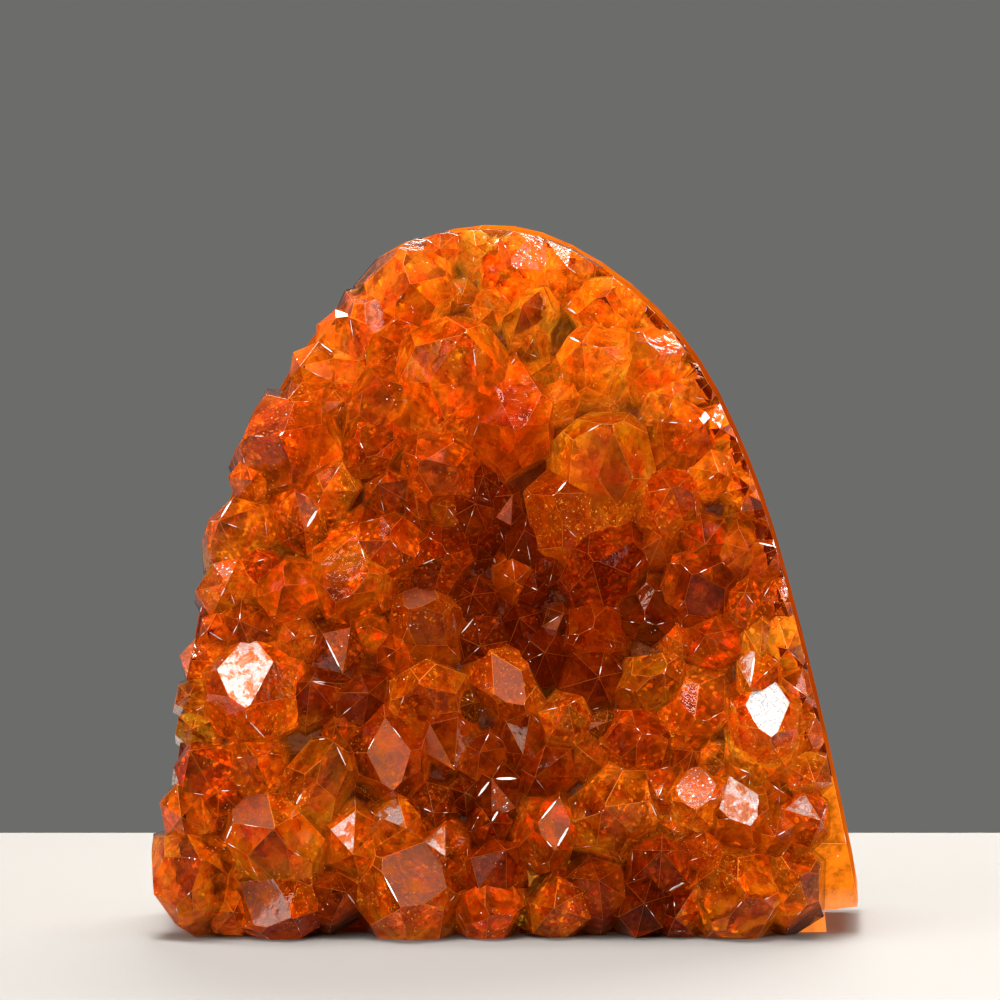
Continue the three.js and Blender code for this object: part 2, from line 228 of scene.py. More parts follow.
def etchingGroup(values):
    # growth etching: the relief, and a mask that is dark along thin wandering lines
    group = bpy.data.node_groups.new("growthEtching", "ShaderNodeTree")
    group.interface.new_socket("Vector", in_out="INPUT", socket_type="NodeSocketVector")
    group.interface.new_socket("Scale", in_out="INPUT", socket_type="NodeSocketFloat")
    group.interface.new_socket("Waviness", in_out="INPUT", socket_type="NodeSocketFloat")
    group.interface.new_socket("Mask", in_out="OUTPUT", socket_type="NodeSocketFloat")
    group.interface.new_socket("Height", in_out="OUTPUT", socket_type="NodeSocketFloat")
    start = group.nodes.new("NodeGroupInput").outputs
    end = group.nodes.new("NodeGroupOutput")
    waves = {"Scale": start["Scale"], "Distortion": start["Waviness"], "Detail": values["detail"]}
    relief = addNoise(group, start["Vector"], waves)
    setInputs(group, end, {"Mask": addRamp(group, relief, greys(values["marks"])), "Height": relief})
    return group


growthEtching = etchingGroup(etchingValues)


def placeEtching(tree, place, scale, waviness):
    etching = tree.nodes.new("ShaderNodeGroup")
    etching.node_tree = growthEtching
    setInputs(tree, etching, {"Vector": place, "Scale": scale, "Waviness": waviness})
    return etching.outputs


crystalValues = {
    "weld": 4e-6,
    "flatAngle": 0.6,
    "seamAngle": 0.02,  # radians; an inward edge flatter than this is no seam
    "edgeWidth": 0.00004,
    "edgeAngle": 14,
    "edgeWear": (0.15, 1),
    "ior": 1.544,
    "absorptionColour": (0.92, 0.73, 0.13),
    "absorptionDensity": 400,
    # the clear faces
    "roughness": 0.03,
    "reflection": (0.12, 0.085, 0.06),  # share of full mirror strength
    "clouds": {"Scale": 900, "Detail": 3, "Roughness": 0.7, "Distortion": 1},
    "cloudStops": [(0.36, (0.6, 0.4, 0.3)), (0.48, (1, 1, 1))],
    "ripples": (700, 1.5),  # scale and waviness
    "rippleRelief": (0.3, 0.0002),
    # the worn edges, with a painted highlight and glow
    "edgePaintedHighlight": (1, 0.4, 0.07),
    "edgeShare": 0.15,  # of that colour over the crystal's own
    "edgePaintedGlow": 0.4,
    "edgeTint": (1, 0.36, 0.04),
    "edgeClear": 0.6,
    "edgeRoughness": 0.3,
    "edgeReflection": (0.03, 0.01, 0),
    # the sawn sides and base
    "sawnColour": (0.22, 0.048, 0.0015),
    "sawnDark": 0.4,
    "sawnSpots": {"Scale": 520, "Detail": 9, "Roughness": 0.75},
    "sawnStops": (0.38, 0.58),
    "sawnGloss": {"To Min": 0.22, "To Max": 0.5},
    # painted glow of the sawn walls
    "sawnPaintedGlow": 4.6,
    "sawLines": (300, 300, 2600),
    "sawRelief": (0.25, 0.0001),
    "chalkColour": (0.4, 0.22, 0.12),
    "chalkStops": [(0.25, 1), (0.42, 0)],  # in centimetres up
    "sawnLean": (-0.08, 0.01),  # least and most that the saw's walls face backwards
    # sawn faces at the right foot, painted at full paleness as painted light
    "sawnFaces": [(29.5, 6.6, 1), (29, 10.2, 1), (28.6, 7.3, 1), (29.5, 7.4, 1), (29, 7.7, 1),
                  (28.3, 6.6, 1)],
    "baseLean": -0.99,
    "baseTo": 0.0001,
    "wallFrom": -0.0065,
    "wallArea": 0.000006,
    "wallLength": 0.012,
    "wallLift": 0.00001,  # off the surface, for the look outwards
    "archFrom": 0.05,
    "footTo": 0.02,
    "footFrom": 0.01,
    # painted light and shade on the sawn wall: darker between, palest over the arch and at the foot
    "wallPaintedShade": (0.42, 0.22, 0.15),
    "wallPaintedLit": (0.85, 0.75, 0.7),
    # the rind
    "rindFrom": 0.008,
    "rindLean": 0.5,
    "rindStops": [(0.34, (0.22, 0.06, 0.012)), (0.66, (0.75, 0.33, 0.07))],
    "rindStains": {"Scale": 150, "Detail": 8, "Roughness": 0.7},
    "rindPits": 900,
    "rindPitShare": 0.5,
    "rindRoughness": 0.75,
    "rindRelief": (0.8, 0.0006),
    # outer crystals, where they stand out past the slab
    "flankLean": -0.35,  # sides that face backwards more than this are frosted
    "flankLift": 0.0001,
    # painted shade: a frosted side looking up is painted darker, against the light from above
    "flankUpPaintedShade": 0.7,  # how much darker a side is for looking up
    "overhangFrom": -0.003,
    "overhangSeam": (1, 0.9, 0.6),
    # faces with painted highlights, painted sheen and painted glitter of their own, over etched marks, as x
    # and z in millimetres over the face, and how pale each is painted
    "whiteFaces": [(22.5, 20.3, 1)],
    "etchedFaces": [(20.8, 23.9, 0.8), (20, 12, 0.8), (-23.4, 23.5, 0.95), (-14.5, 9.4, 0.9),
                    (-10.4, 11, 0.7), (-6.5, 8.7, 0.8), (25.6, 11.5, 0.55)],
    "hazyFaces": [(-10.7, 16.1, 0.9), (-6.6, 16.7, 1), (-8.5, 5.8, 0.9), (3.8, 10.1, 0.9),
                  (-0.3, 22.4, 1.1), (7.4, 18.7, 1), (-0.4, 37.2, 0.8), (3.8, 27.4, 0.8), (-21.5, 3.3, 0.8),
                  (-22.5, 11.2, 1), (-18.1, 37.7, 0.8), (-15.2, 25.7, 0.8), (-28.5, 25.2, 1),
                  (-15.9, 46.8, 1), (-8.2, 29.8, 0.9)],
    "glitterFaces": [(16.2, 13.3, 1), (1.7, 60, 1), (4.4, 60.3, 1), (-25.2, 32.4, 1), (-1, 12.1, 0.7)],
    # name, marks, face between them, how clear, how shiny, scale and waviness of the marks, relief, and
    # where patches start and fill
    "paleKinds": [
        ("etchedFace", (0.6, 0.15, 0.03), (0.75, 0.7, 0.7), 0.5, 0.5, 1100, 2, 1, (0.47, 0.52)),
        ("hazyFace", (0.5, 0.12, 0.02), (0.26, 0.09, 0.055), 0.6, 0.6, 500, 1, 0.2, (0.3, 0.45)),
        ("glitterFace", (0.7, 0.15, 0.02), (0.45, 0.25, 0.2), 0.7, 0.35, 1600, 0.5, 1, (0.5, 0.55)),
        ("whiteFace", (0.04, 0.03, 0.02), (0.5, 0.48, 0.48), 0.1, 0.35, 700, 2.5, 0.9, (0.25, 0.3)),
    ],
    "paleRoughness": 0.1,
    "patchScale": 0.75,  # of the marks' own scale
    "patchDetail": 5,
    "paleRelief": 0.0003,
    # tints of the crystals
    "seed": 11,
    "faceShade": (0.55, 1),
    # painted light: a face looking up is painted lighter, as if lit from above
    "faceUpPaintedLight": 0.2,  # how much lighter a face is for looking up
    "faceGreen": (0.78, 1.05),
    # painted shade in the seams between crystals: where it starts and is full, and its colour low and high
    "seamShadeDepth": (-0.0014, 0.0014),  # from where a face darkens to its seam, behind the crystals' shoulders
    "seamShadeLow": (0.36, 0.24, 0.12),
    "seamShadeHigh": (0.5, 0.52, 0.25),
    "toneReach": 0.0026,
    "slabReach": 1.6,  # of toneReach, for crystals joined through the slab
    "slabArea": 0.0006,  # a group of faces larger than this is such crystals
    # a crystal with no named tint has painted light and shade: painted lighter at the top and flanks and
    # painted darker in the hollow
    "plainLevel": (0.5, 0.78),
    "paintedTopLight": (0.045, 12),  # from what height, and the gain a metre
    "paintedFlankLight": (0.024, 0.22),  # at what distance out, and the gain there
    "paintedHollowShade": ((0, 0.027), 0.013, 0.2),  # place, reach and loss
    "plainGreen": (0.7, 1),
    "plainBlue": 0.7,
    # tint, and the crystals that carry it, as x and z in millimetres over the face
    "tones": [
        ((1, 1, 0.9), [  # amber
            (1.2, 54.7), (8.3, 55.6), (7.2, 51), (8.3, 42.5), (4.6, 37.4), (-24.5, 35.8), (-16.6, 39.2),
            (-8.3, 27.8), (5, 19.1), (-8, 21.1), (22.2, 18.2), (8.7, 11.3), (-3.5, 61), (-21, 8.6),
            (-28.1, 5.7), (-9.4, 3.9), (0, 21.1), (-0.1, 31.2), (12.3, 23), (-16.8, 14.6), (-14.2, 8.7),
            (-29.5, 11.2), (-28.7, 18.3), (21.4, 26.3), (-2.1, 55), (13.3, 46.9)]),
        ((1, 0.84, 0.6), [  # orange
            (-5, 50.3), (-9, 57.2), (-12.4, 52.9), (5, 59.4), (12.4, 50.8), (-17.7, 50.1), (-14.8, 30.9),
            (-25.9, 30.7), (-23.1, 21.1), (-9.9, 9.7), (24.8, 5.2), (19.8, 3.8), (26.7, 14.3), (21.3, 23.4),
            (-25.3, 11.8), (16.7, 19.9), (17.9, 40.5), (20.2, 10.6), (16.2, 12.1), (-24, 40), (23.4, 9.2),
            (5, 46.6)]),
        ((0.88, 0.64, 0.4), [  # red
            (0.1, 59), (-0.1, 45.2), (-7, 41.6), (15.5, 43.9), (-19.9, 30.5), (-21.1, 44.1), (11.1, 17.3),
            (-28.2, 24.4), (-20.3, 2.8), (-2.1, 2.6), (4.1, 2.4), (-27.7, 14.9), (-10.5, 24.5), (16.7, 7.8),
            (26.6, 10.4)]),
        ((0.68, 0.48, 0.34), [  # rust
            (14, 38.5), (-12, 47.4), (-11, 34.5), (-10.8, 15.2), (20.6, 29.4), (-5.8, 33.1), (2.9, 8.7),
            (-18.8, 36.2), (7.5, 26.7), (20.1, 34.4), (12.9, 33.9), (17.8, 25.6), (-5.2, 8.2), (-5.4, 16.7),
            (-23.1, 27.7), (-18.8, 26.4), (13.3, 13.3)]),
        ((0.5, 0.3, 0.24), [  # brown
            (8, 32.4), (16.2, 30.9), (17.2, 35.6), (6.9, 22.8), (-11.3, 39.3), (-12.4, 42.8), (-17.2, 20.5),
            (7.8, 4), (13.2, 6.8), (-1, 6.5), (-15.5, 2.6), (-6.6, 12), (0.8, 17.5), (-2.5, 16.3),
            (3.3, 14.6), (-1.4, 12.9), (-2, 9.8)]),
        ((0.34, 0.19, 0.2), [  # dark
            (-2.3, 34.5), (-3.6, 29.6), (-2.7, 26), (0.8, 26.7), (2.6, 24), (1.7, 30.5), (0.9, 34.7),
            (12, 28.3), (-15.4, 24.6), (-12.9, 21.5), (-0.5, 37.9), (11.5, 1.8), (-4.2, 12.4)]),
    ],
}


def addAbsorption(tree, values):
    inputs = {"Color": (*values["absorptionColour"], 1), "Density": values["absorptionDensity"]}
    absorption = addNode(tree, "VolumeAbsorption", inputs)
    tree.links.new(absorption.outputs["Volume"], tree.nodes["Material Output"].inputs["Volume"])


def addTone(tree, colour):
    # the colour times the crystal's own tint
    tone = addNode(tree, "VertexColor", {}, layer_name="tone").outputs["Color"]
    return addMix(tree, 1, tone, colour, "MULTIPLY")


def clearMaterial(values):
    material, tree, shader = newMaterial("clearCitrine", {
        "Transmission Weight": 1,
        "IOR": values["ior"],
        "Roughness": values["roughness"],
        "Specular Tint": (*values["reflection"], 1),
    })
    addAbsorption(tree, values)
    place = objectPlace(tree)
    clouds = addNoise(tree, place, values["clouds"])
    ripples = placeEtching(tree, place, *values["ripples"])["Height"]
    setInputs(tree, shader, {
        "Base Color": addTone(tree, addRamp(tree, clouds, values["cloudStops"])),
        "Normal": addBump(tree, ripples, *values["rippleRelief"]),
    })
    return material


def paleMaterial(values, name, marked, plain, clear, shine, scale, waviness, relief, patches):
    # a face that growth or wear has etched, with a painted highlight: pale patches with wandering marks
    # that stand in for the light it reflects, the crystal's colour between
    material, tree, shader = newMaterial(name, {
        "Transmission Weight": clear,
        "IOR": values["ior"],
        "Roughness": values["paleRoughness"],
        "Specular Tint": (shine, shine, shine, 1),
    })
    addAbsorption(tree, values)
    place = objectPlace(tree)
    etching = placeEtching(tree, place, scale, waviness)
    spread = addNoise(tree, place, {"Scale": scale * values["patchScale"], "Detail": values["patchDetail"]})
    patch = addRange(tree, spread, {"From Min": patches[0], "From Max": patches[1]})
    share = addMath(tree, "MULTIPLY", patch, etching["Mask"])
    marks = addMix(tree, share, (*marked, 1), (*plain, 1))
    setInputs(tree, shader, {
        "Base Color": addTone(tree, marks),
        "Normal": addBump(tree, etching["Height"], relief, values["paleRelief"]),
    })
    return material


def edgeMaterial(values):
    # worn edges with a painted highlight: a little lighter than the crystal that they belong to, and
    # glowing
    material, tree, shader = newMaterial("wornEdgePaintedGlow", {
        "Transmission Weight": values["edgeClear"],
        "IOR": values["ior"],
        "Roughness": values["edgeRoughness"],
        "Specular Tint": (*values["edgeReflection"], 1),
        "Emission Strength": values["edgePaintedGlow"],
    })
    addAbsorption(tree, values)
    # painted highlight: the crystal's colour lightened, and its painted glow
    orange = addTone(tree, (*values["edgeTint"], 1))
    lighter = addMix(tree, values["edgeShare"], orange, (*values["edgePaintedHighlight"], 1))
    setInputs(tree, shader, {"Base Color": lighter, "Emission Color": orange})
    return material


def sawnMaterial(values):
    # the sawn sides and base: frosted, with the saw's fine lines and a painted glow
    material, tree, shader = newMaterial("sawnQuartz", {
        "Specular IOR Level": 0,
        "Emission Strength": values["sawnPaintedGlow"],
    })
    place = objectPlace(tree)
    spots = addNoise(tree, place, values["sawnSpots"])
    dark = [level * values["sawnDark"] for level in values["sawnColour"]]
    low, high = values["sawnStops"]
    toned = addTone(tree, addRamp(tree, spots, [(low, dark), (high, values["sawnColour"])]))
    # a chalky strip where the lower edge has been broken away
    centimetres = addMath(tree, "MULTIPLY", objectHeight(tree, place), 100)
    strip = addRamp(tree, centimetres, greys(values["chalkStops"]))
    stretched = addNode(tree, "Mapping", {"Vector": place, "Scale": values["sawLines"]}).outputs["Vector"]
    lines = addNoise(tree, stretched, {"Scale": 1})
    setInputs(tree, shader, {
        "Base Color": addMix(tree, strip, toned, (*values["chalkColour"], 1)),
        "Emission Color": toned,
        "Roughness": addRange(tree, spots, values["sawnGloss"]),
        "Normal": addBump(tree, lines, *values["sawRelief"]),
    })
    return material


def rindMaterial(values):
    # the geode's outer skin on the back: dull, grainy and stained
    material, tree, shader = newMaterial("rind", {"Roughness": values["rindRoughness"]})
    place = objectPlace(tree)
    stains = addNoise(tree, place, values["rindStains"])
    pits = addNode(tree, "TexVoronoi", {"Vector": place, "Scale": values["rindPits"]}).outputs["Distance"]
    grain = addMath(tree, "MULTIPLY_ADD", pits, values["rindPitShare"], stains)
    setInputs(tree, shader, {
        "Base Color": addRamp(tree, stains, values["rindStops"]),
        "Normal": addBump(tree, grain, *values["rindRelief"]),
    })
    return material


# the crystals' materials, by their place in the mesh's list
finishes = ("clear", "edge", "sawn", "rind", "etched", "hazy", "glitter", "white")
finishNumbers = {finish: number for number, finish in enumerate(finishes)}


def isOpen(tree, start, direction):
    return tree.ray_cast(start, direction)[0] is None


def finishFaces(shape, values):
    # clear crystal in front, sawn walls and base, and the rind behind
    tree = BVHTree.FromBMesh(shape)
    low, high = values["sawnLean"]
    for face in shape.faces:
        middle, outward = face.calc_center_median(), face.normal
        finish = "clear"
        if outward.z < values["baseLean"] and middle.z < values["baseTo"]:
            finish = "sawn"
        elif outward.y > values["rindLean"] and middle.y > values["rindFrom"]:
            finish = "rind"
        elif low < outward.y < high and middle.y > values["wallFrom"]:
            longest = max(edge.calc_length() for edge in face.edges)
            if face.calc_area() > values["wallArea"] or longest > values["wallLength"]:
                if isOpen(tree, middle + outward * values["wallLift"], outward):
                    finish = "sawn"
        if finish == "clear" and outward.y > values["flankLean"]:
            if isOpen(tree, middle + outward * values["flankLift"], backwards):
                finish = "edge"
        face.smooth = False
        face.material_index = finishNumbers[finish]


def finishNamedFaces(shape, values):
    # the faces at the named spots, and how pale each is painted
    tree = BVHTree.FromBMesh(shape)
    shape.faces.ensure_lookup_table()
    pale = {}
    for finish in ("sawn", "etched", "hazy", "glitter", "white"):
        for x, z, level in values[finish + "Faces"]:
            index = tree.ray_cast(Vector((x / 1000, -farOut, z / 1000)), backwards)[2]
            shape.faces[index].material_index = finishNumbers[finish]
            pale[index] = level
    return pale


def crystalFaces(shape, values):
    # faces that meet over outward edges belong to one crystal; inward edges are the seams
    taken = set()
    for first in shape.faces:
        if first in taken:
            continue
        crystal = [first]
        taken.add(first)
        for face in crystal:
            for edge in face.edges:
                if not edge.is_manifold:
                    continue
                if not edge.is_convex and edge.calc_face_angle() >= values["seamAngle"]:
                    continue
                for other in edge.link_faces:
                    if other not in taken:
                        taken.add(other)
                        crystal.append(other)
        yield crystal


def paintedSeamShade(tree, place, values):
    # painted shade: darker down in the seams between crystals, less dark and olive higher up where the slab
    # is thin
    behind = tree.ray_cast(Vector((place.x, farOut, place.z)), forwards)[0]
    if behind is None or behind.y < values["overhangFrom"]:
        return values["overhangSeam"]
    crust, up, _ = crustY(place.x, place.z)
    near, deep = values["seamShadeDepth"]
    share = min(1, max(0, (place.y - crust - near) / (deep - near)))
    low, high = Vector(values["seamShadeLow"]), Vector(values["seamShadeHigh"])
    return Vector((1, 1, 1)).lerp(low.lerp(high, min(1, up**2)), share)


def paintedWallLight(place, values):
    # painted light: the sawn wall is painted palest over the arch and at the right foot, and darker between
    arch = max(0, (place.z - values["archFrom"]) / (crustValues["height"] - values["archFrom"]))
    foot = max(0, 1 - place.z / values["footTo"]) if place.x > values["footFrom"] else 0
    return Vector(values["wallPaintedShade"]).lerp(Vector(values["wallPaintedLit"]), min(1, arch + foot))


def crystalTint(place, spots, reach, values):
    # the named tint of the crystal here, or a plain one
    over = Vector((place.x, place.z))
    nearest, tint = min(spots, key=lambda spot: (spot[0] - over).length)
    if (nearest - over).length < reach and place.y < 0:
        return tint
    topFrom, topGain = values["paintedTopLight"]
    flankAt, flankGain = values["paintedFlankLight"]
    middle, size, loss = values["paintedHollowShade"]
    # painted light higher up and out at the flanks, painted shade near the hollow
    level = random.uniform(*values["plainLevel"]) + max(0, place.z - topFrom) * topGain
    level += flankGain * min(1, abs(place.x) / flankAt)
    level -= loss * math.exp(-(((over - Vector(middle)).length / size) ** 2))
    return level, level * random.uniform(*values["plainGreen"]), level * values["plainBlue"]


def toneCrystals(shape, values, pale):
    # a tint for each crystal, varied from face to face, with painted light and shade by how a face looks up
    # and how deep it lies
    random.seed(values["seed"])
    layer = shape.loops.layers.float_color.new("tone")
    spots = [(Vector((x / 1000, z / 1000)), tint) for tint, places in values["tones"] for x, z in places]
    tree = BVHTree.FromBMesh(shape)
    for crystal in crystalFaces(shape, values):
        area = sum(face.calc_area() for face in crystal)
        middle = sum((face.calc_center_median() * face.calc_area() for face in crystal), Vector()) / area
        tint = crystalTint(middle, spots, values["toneReach"], values)
        for face in crystal:
            if area > values["slabArea"]:
                reach = values["toneReach"] * values["slabReach"]
                tint = crystalTint(face.calc_center_median(), spots, reach, values)
            # painted light: a face looking up is lighter, and a frosted side looking up darker
            up = face.normal.z
            shade = random.uniform(*values["faceShade"]) * (1 - values["faceUpPaintedLight"] + values["faceUpPaintedLight"] * up)
            green = shade * random.uniform(*values["faceGreen"])
            paintedUpShade = 1 - values["flankUpPaintedShade"] * max(0, up)
            for loop in face.loops:
                # named faces take how pale they are painted: painted highlights, or painted light at the
                # right foot
                if face.index in pale:
                    tone = [pale[face.index]] * 3
                elif face.material_index == finishNumbers["sawn"]:
                    # painted light on the sawn wall
                    tone = paintedWallLight(loop.vert.co, values)
                elif face.material_index == finishNumbers["edge"]:
                    tone = [part * shade * paintedUpShade for part in tint]
                else:  # squared, as clear glass shows the square root of its colour
                    # the colour times the painted shade in the seams
                    seam = paintedSeamShade(tree, loop.vert.co, values)
                    tone = [(part * f * s) ** 2 for part, f, s in zip(tint, (shade, green, green), seam)]
                loop[layer] = (*tone, 1)


def makeCrystals(values):
    crystals = bpy.data.objects.new("crystals", cluster.data.copy())
    scene.collection.objects.link(crystals)
    shape = bmesh.new()
    shape.from_mesh(crystals.data)
    bmesh.ops.remove_doubles(shape, verts=shape.verts, dist=values["weld"])
    flat, sharp = math.radians(values["flatAngle"]), math.radians(values["edgeAngle"])
    bmesh.ops.dissolve_limit(shape, angle_limit=flat, verts=shape.verts, edges=shape.edges)
    finishFaces(shape, values)
    toneCrystals(shape, values, finishNamedFaces(shape, values))
    wear = shape.edges.layers.float.new("bevel_weight_edge")
    for edge in shape.edges:
        if edge.is_manifold and edge.is_convex and edge.calc_face_angle() > sharp:
            edge[wear] = random.uniform(*values["edgeWear"])
    crystals.data.materials.clear()  # first, because it puts every face back in slot 0
    shape.to_mesh(crystals.data)
    shape.free()
    for makeMaterial in (clearMaterial, edgeMaterial, sawnMaterial, rindMaterial):
        crystals.data.materials.append(makeMaterial(values))
    for kind in values["paleKinds"]:
        crystals.data.materials.append(paleMaterial(values, *kind))
    bevel = crystals.modifiers.new("softEdges", "BEVEL")
    bevel.width = values["edgeWidth"]
    bevel.segments = 1
    bevel.limit_method = "WEIGHT"
    bevel.use_clamp_overlap = False
    bevel.material = finishNumbers["edge"]
    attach(crystals, "root")
    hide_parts("citrine_cluster")
    return crystals


rootValues = {
    "seed": 3,
    "voxel": 0.00055,
    "inset": 0.0005,
    "clearSkin": 0.0005,
    "pushed": 1.5,  # of how much the clear skin is too thin
    "mostPushed": 0.002,
    "creviceShade": 0.6,
    "behindCrust": 0.0003,
    "deeperAtBase": 0.0006,
    "deeperInHollow": 0.0025,
    "lump": 0.0012,
    "lumpScale": 300,
    # grains, each with a slope and a tone of its own
    "grainSize": 0.0021,
    "grainSlope": 0.8,
    "slopeStride": 7.3,  # how far apart two grains next to each other read the noise
    "toneStride": 3.1,
    "grainTone": (0.85, 0.7, 0.5),  # the usual one, how far it varies, and the least
    "grainGreen": (0.85, 0.5),  # the usual one, and how far it varies with the slope
    # milky quartz
    "roughness": 0.35,
    "clouds": {"Scale": 260, "Detail": 4, "Roughness": 0.65},
    "cloudStops": [(0.32, (0.5, 0.14, 0.006)), (0.5, (0.95, 0.3, 0.015)), (0.68, (1, 0.52, 0.05))],
    "relief": (0.6, 0.0006),
    # painted shade in the hollow: its colour, middle and size
    "hollowShadeColour": (0.35, 0.06, 0.006),
    "hollowShadePlace": (0.0005, -0.006, 0.031),
    "hollowShadeSize": (0.02, 0.03, 0.022),
    # its painted glow, stronger higher up, by the height in metres
    "paintedGlow": 0.66,
    "paintedGlowUp": {"From Min": 0, "From Max": 0.06, "To Min": 0.62, "To Max": 2.2},
    "crumbs": 2600,
    "crumbStops": [(0, 0.18), (0.6, 0.24), (0.86, 0.42), (0.95, 0.75), (1, 1.5)],
    "paintedCrumbGlow": 3.4,
    "clumps": {"Scale": 180},
    "clumpRange": {"From Min": 0.44, "From Max": 0.6},
    "betweenClumps": 0.3,
    "cracks": 620,
    "paintedCrackGlow": {"From Max": 0.05, "To Min": 0.7, "To Max": 0},
    "crackWander": 0.0012,
    "wanderScale": 400,
}


def rootMaterial(values):
    # milky quartz with a painted glow
    material, tree, shader = newMaterial("milkyQuartz", {
        "Roughness": values["roughness"],
        "Emission Strength": values["paintedGlow"],
    })
    place = objectPlace(tree)
    clouds = addNoise(tree, place, values["clouds"])
    # each grain of the quartz has its own brightness
    grain = addNode(tree, "VertexColor", {}, layer_name="grain").outputs["Color"]
    grained = addMix(tree, 1, addRamp(tree, clouds, values["cloudStops"]), grain, "MULTIPLY")
    # painted shade: darker round the hollow
    around = addNode(tree, "Mapping", {
        "Vector": place,
        "Location": [-middle / size for middle, size in zip(values["hollowShadePlace"], values["hollowShadeSize"])],
        "Scale": [1 / size for size in values["hollowShadeSize"]],
    }).outputs["Vector"]
    hollowShade = addNode(tree, "TexGradient", {"Vector": around}, gradient_type="SPHERICAL").outputs["Fac"]
    quartz = addMix(tree, hollowShade, grained, (*values["hollowShadeColour"], 1))
    # painted glow, standing in for light let in through the thin top of the slab
    paintedTopGlow = addRange(tree, objectHeight(tree, place), values["paintedGlowUp"])
    # painted sparkle of small grains in clumps, as glow
    crumbs = addNode(tree, "TexVoronoi", {"Vector": place, "Scale": values["crumbs"]}).outputs["Color"]
    crumb = addNode(tree, "SeparateColor", {"Color": crumbs}).outputs["Red"]
    sparkle = addRamp(tree, crumb, greys(values["crumbStops"]))
    clumps = addRange(tree, addNoise(tree, place, values["clumps"]), values["clumpRange"])
    uneven = {"Factor": clumps, "A": values["betweenClumps"], "B": sparkle}
    clumped = addNode(tree, "Mix", uneven).outputs["Result"]
    # painted shine along cracks between larger grains
    wander = addNode(tree, "TexNoise", {"Vector": place, "Scale": values["wanderScale"]}).outputs["Color"]
    bent = {"Vector": addMix(tree, values["crackWander"], place, wander), "Scale": values["cracks"]}
    cracks = addNode(tree, "TexVoronoi", bent, feature="DISTANCE_TO_EDGE").outputs["Distance"]
    crack = addRange(tree, cracks, values["paintedCrackGlow"])
    # painted sparkle and crack shine, brighter towards the top, as painted glow
    lit = addMath(tree, "MULTIPLY_ADD", clumped, values["paintedCrumbGlow"], crack)
    shone = addMath(tree, "MULTIPLY", paintedTopGlow, lit)
    setInputs(tree, shader, {
        "Base Color": quartz,
        "Emission Color": addMix(tree, 1, quartz, shone, "MULTIPLY"),
        "Normal": addBump(tree, clouds, *values["relief"]),
    })
    return material


def surfaceTree(mesh):
    shape = bmesh.new()
    shape.from_mesh(mesh)
    tree = BVHTree.FromBMesh(shape)
    shape.free()
    return tree


def grainAt(place, values):
    # how far the grain here stands out, with a flat face of its own slope, and its tone
    nearest = noise.voronoi(place / values["grainSize"])[1][0]
    slope = noise.noise_vector(nearest * values["slopeStride"]) * values["grainSlope"]
    away = place - nearest * values["grainSize"]
    usual, varied, least = values["grainTone"]
    level = max(least, usual + varied * noise.noise(nearest * values["toneStride"]))
    greenUsual, greenVaried = values["grainGreen"]
    return slope.x * away.x + slope.z * away.z, (level, level * (greenUsual + greenVaried * slope.y), level)


def drawnIn(root, values):
    # the solid with even faces, drawn in all round
    shape = bmesh.new()
    shape.from_mesh(root.data)
    bmesh.ops.remove_doubles(shape, verts=shape.verts, dist=crystalValues["weld"])
    shape.to_mesh(root.data)
    shape.free()
    remesh = root.modifiers.new("evenSkin", "REMESH")
    remesh.mode = "VOXEL"
    remesh.voxel_size = values["voxel"]
    inset = root.modifiers.new("drawIn", "DISPLACE")
    inset.strength = -values["inset"]
    inset.mid_level = 0
    bpy.context.view_layer.update()
    skin = bpy.data.meshes.new_from_object(root.evaluated_get(bpy.context.evaluated_depsgraph_get()))
    root.modifiers.clear()
    return skin


def makeRoot(values, crystals):
    # the quartz that the crystals grow from, pushed back behind them
    noise.seed_set(values["seed"])  # without it the grains' slopes differ from run to run
    glass = surfaceTree(crystals.data)
    root = bpy.data.objects.new("milkyRoot", cluster.data.copy())
    scene.collection.objects.link(root)
    root.data = skin = drawnIn(root, values)
    layer = skin.color_attributes.new("grain", "FLOAT_COLOR", "POINT")
    for vert, shade in zip(skin.vertices, layer.data):
        crust, up, hollow = crustY(vert.co.x, vert.co.z)
        behind = values["behindCrust"] + values["deeperAtBase"] * (1 - up)
        behind += values["deeperInHollow"] * hollow
        rise, tone = grainAt(vert.co, values)
        lump = values["lump"] * (0.5 + 0.5 * noise.noise(vert.co * values["lumpScale"])) + rise
        vert.co.y = max(vert.co.y, crust + behind + lump)
        surface, outward = glass.find_nearest(vert.co)[:2]
        short = values["clearSkin"] - (surface - vert.co).dot(outward)
        if short > 0 and vert.co.y < 0:
            vert.co.y += min(short * values["pushed"], values["mostPushed"])
            tone = [level * values["creviceShade"] for level in tone]
        shade.color = (*tone, 1)
    skin.shade_flat()
    skin.materials.clear()
    skin.materials.append(rootMaterial(values))
    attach(root, "root")
    return root


flakeValues = {
    "seed": 5,
    "tries": 54000,
    "sizes": (0.00003, 0.00013),
    "clearance": 0.0001,
    "clumps": 260,  # scale of the clouds that the flakes gather in
    "clumpFrom": 0.1,
    "startAhead": 0.01,
    "depths": (0.1, 0.95),  # share of the way in to the milky quartz
    "leastDepth": 0.0006,
    "turns": (0, 6.28),  # radians
    "breadths": (0.3, 1),  # of the length
    "sides": (3, 4, 5),
    "taper": 0.7,
    "thickness": 0.12,
    "speckle": {"Scale": 500},
    "speckleStops": [(0.38, (0.6, 0.15, 0.02)), (0.5, (1, 0.5, 0.08))],
    "roughness": 0.3,
    "paintedGlow": 1.3,
}


